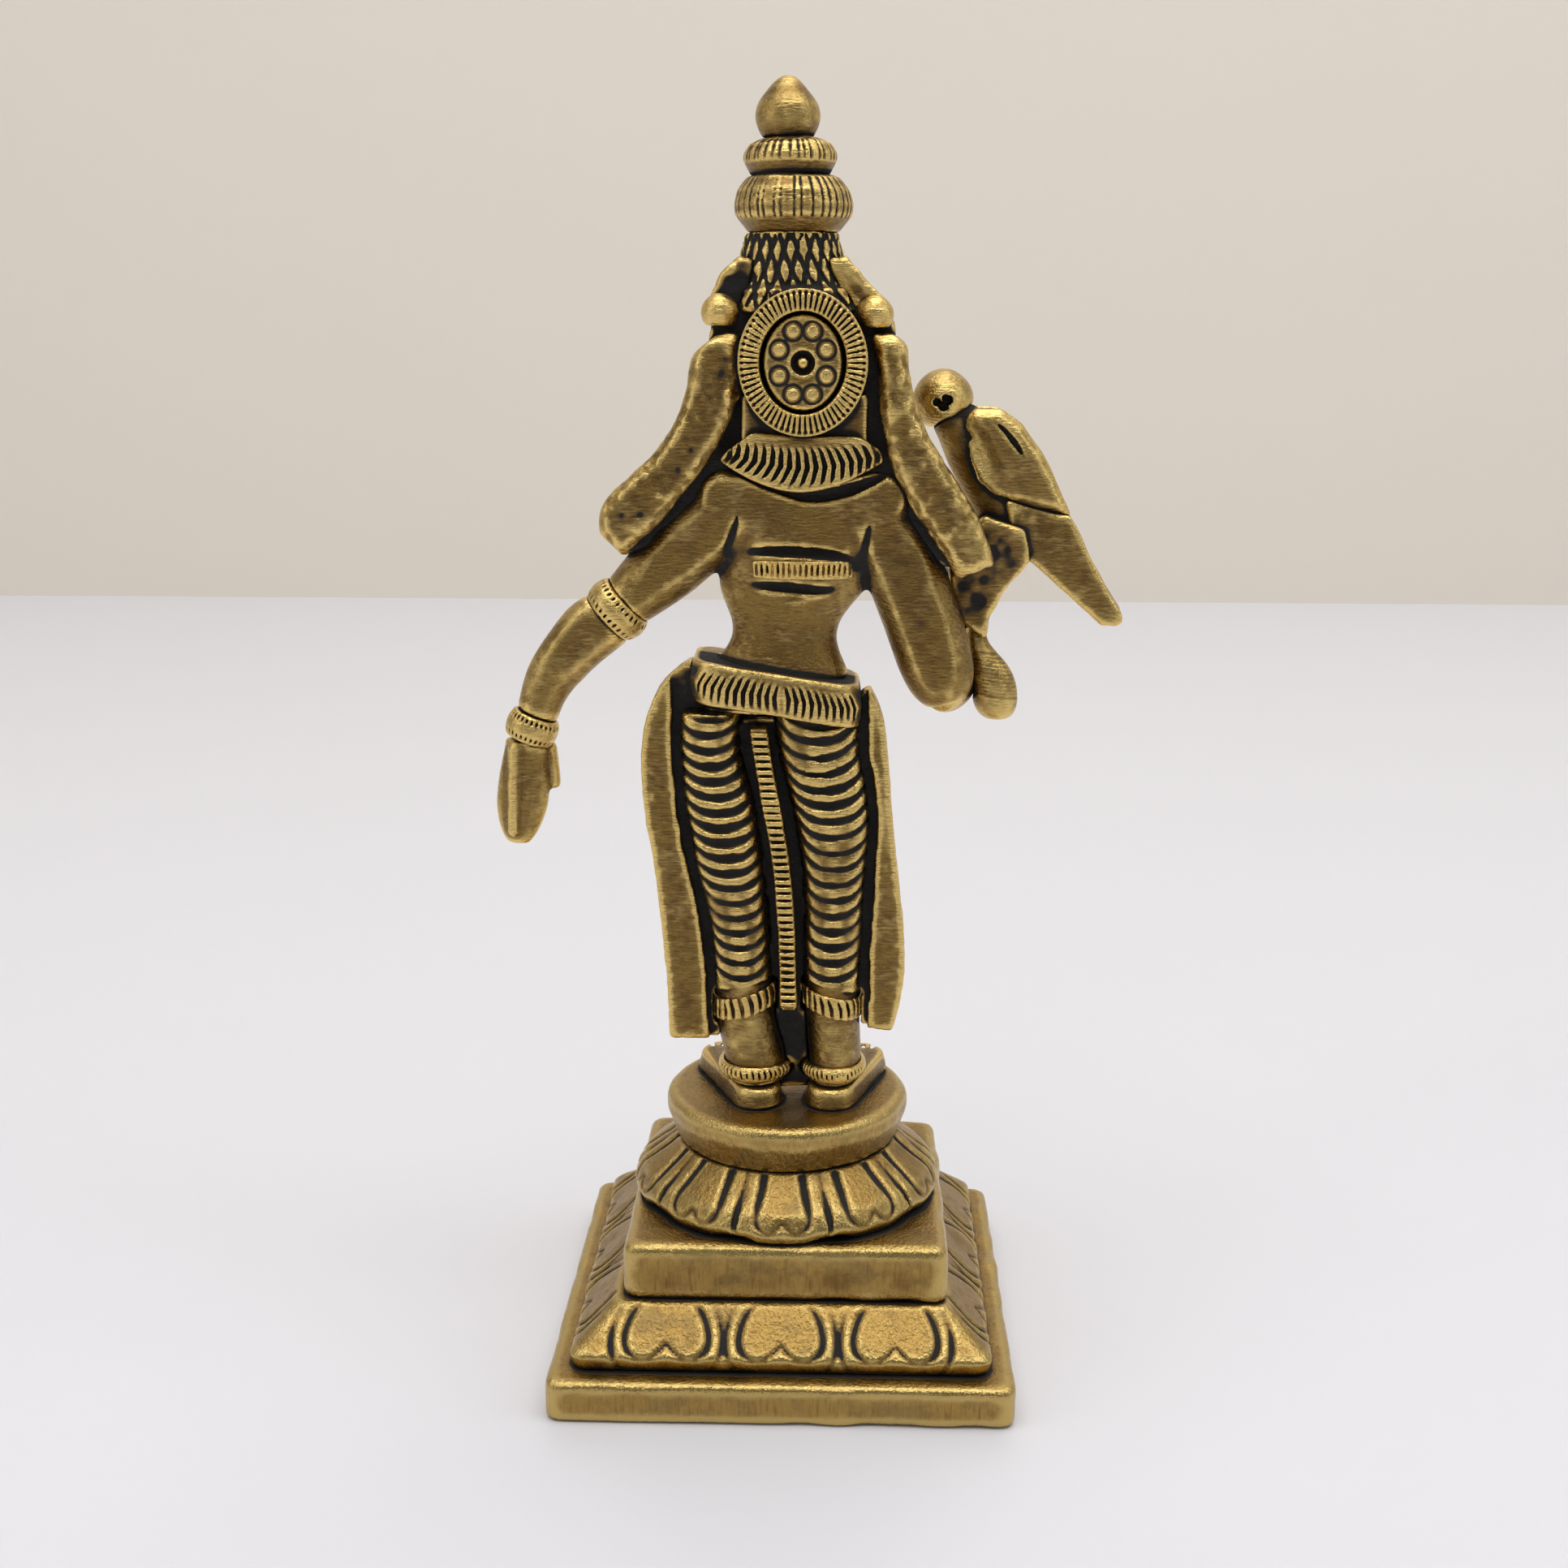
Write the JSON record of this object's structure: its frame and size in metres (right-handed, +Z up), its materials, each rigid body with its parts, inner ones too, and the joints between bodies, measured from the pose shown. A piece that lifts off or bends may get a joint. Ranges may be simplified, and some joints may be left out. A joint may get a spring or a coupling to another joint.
{
  "type": "brass figurine",
  "caption": "Small antique-finished brass figure of a standing crowned goddess with a parrot by the right hand, on a lotus seat and stepped square base.",
  "frame": {"origin": "centre of the square base, on the surface that it stands on", "axes": "+Z up; +Y out of the figure's front; +X towards the figure's right arm, where the parrot is"},
  "size_m": [0.0564, 0.0414, 0.1144],
  "materials": {
    "base_brass": "cast, filed and darkened, rubbed bright on edges",
    "figure_brass": "cast and chased, darkened in the recesses, rubbed bright on edges"
  },
  "bodies": {
    "root": {"belt_clasp": "figure_brass", "bodice": "figure_brass", "breast_band": "figure_brass", "centre_rivet": "base_brass", "centre_sash": "figure_brass", "crown_band": "figure_brass", "crown_cone": "figure_brass", "crown_crest": "figure_brass", "crown_finial": "figure_brass", "crown_high_ring": "figure_brass", "crown_low_ring": "figure_brass", "flower_stem": "figure_brass", "foot_disc": "base_brass", "front_pleats": "figure_brass", "hair_web": "figure_brass", "halo_bosses": "figure_brass", "halo_plate": "figure_brass", "halo_rim": "figure_brass", "head": "figure_brass", "hip_belt": "figure_brass", "left_anklet": "figure_brass", "left_armlet": "figure_brass", "left_bangle": "figure_brass", "left_earring": "figure_brass", "left_foot": "figure_brass", "left_forearm": "figure_brass", "left_hand": "figure_brass", "left_hem_band": "figure_brass", "left_leg": "figure_brass", "left_lock": "figure_brass", "left_rosette": "figure_brass", "left_skirt_wing": "figure_brass", "left_upper_arm": "figure_brass", "lotus_ring": "base_brass", "nape_collar": "figure_brass", "necklace": "figure_brass", "parrot_back_wing": "figure_brass", "parrot_body": "figure_brass", "parrot_front_wing": "figure_brass", "parrot_head": "figure_brass", "parrot_perch": "figure_brass", "parrot_tail": "figure_brass", "pendant": "figure_brass", "petal_tier": "base_brass", "plinth_slab": "base_brass", "right_anklet": "figure_brass", "right_bangle": "figure_brass", "right_earring": "figure_brass", "right_foot": "figure_brass", "right_forearm": "figure_brass", "right_hand": "figure_brass", "right_hem_band": "figure_brass", "right_leg": "figure_brass", "right_lock": "figure_brass", "right_rosette": "figure_brass", "right_skirt_wing": "figure_brass", "right_upper_arm": "figure_brass", "skirt_web": "figure_brass", "square_step": "base_brass", "torso": "figure_brass"}
  },
  "joints": []
}
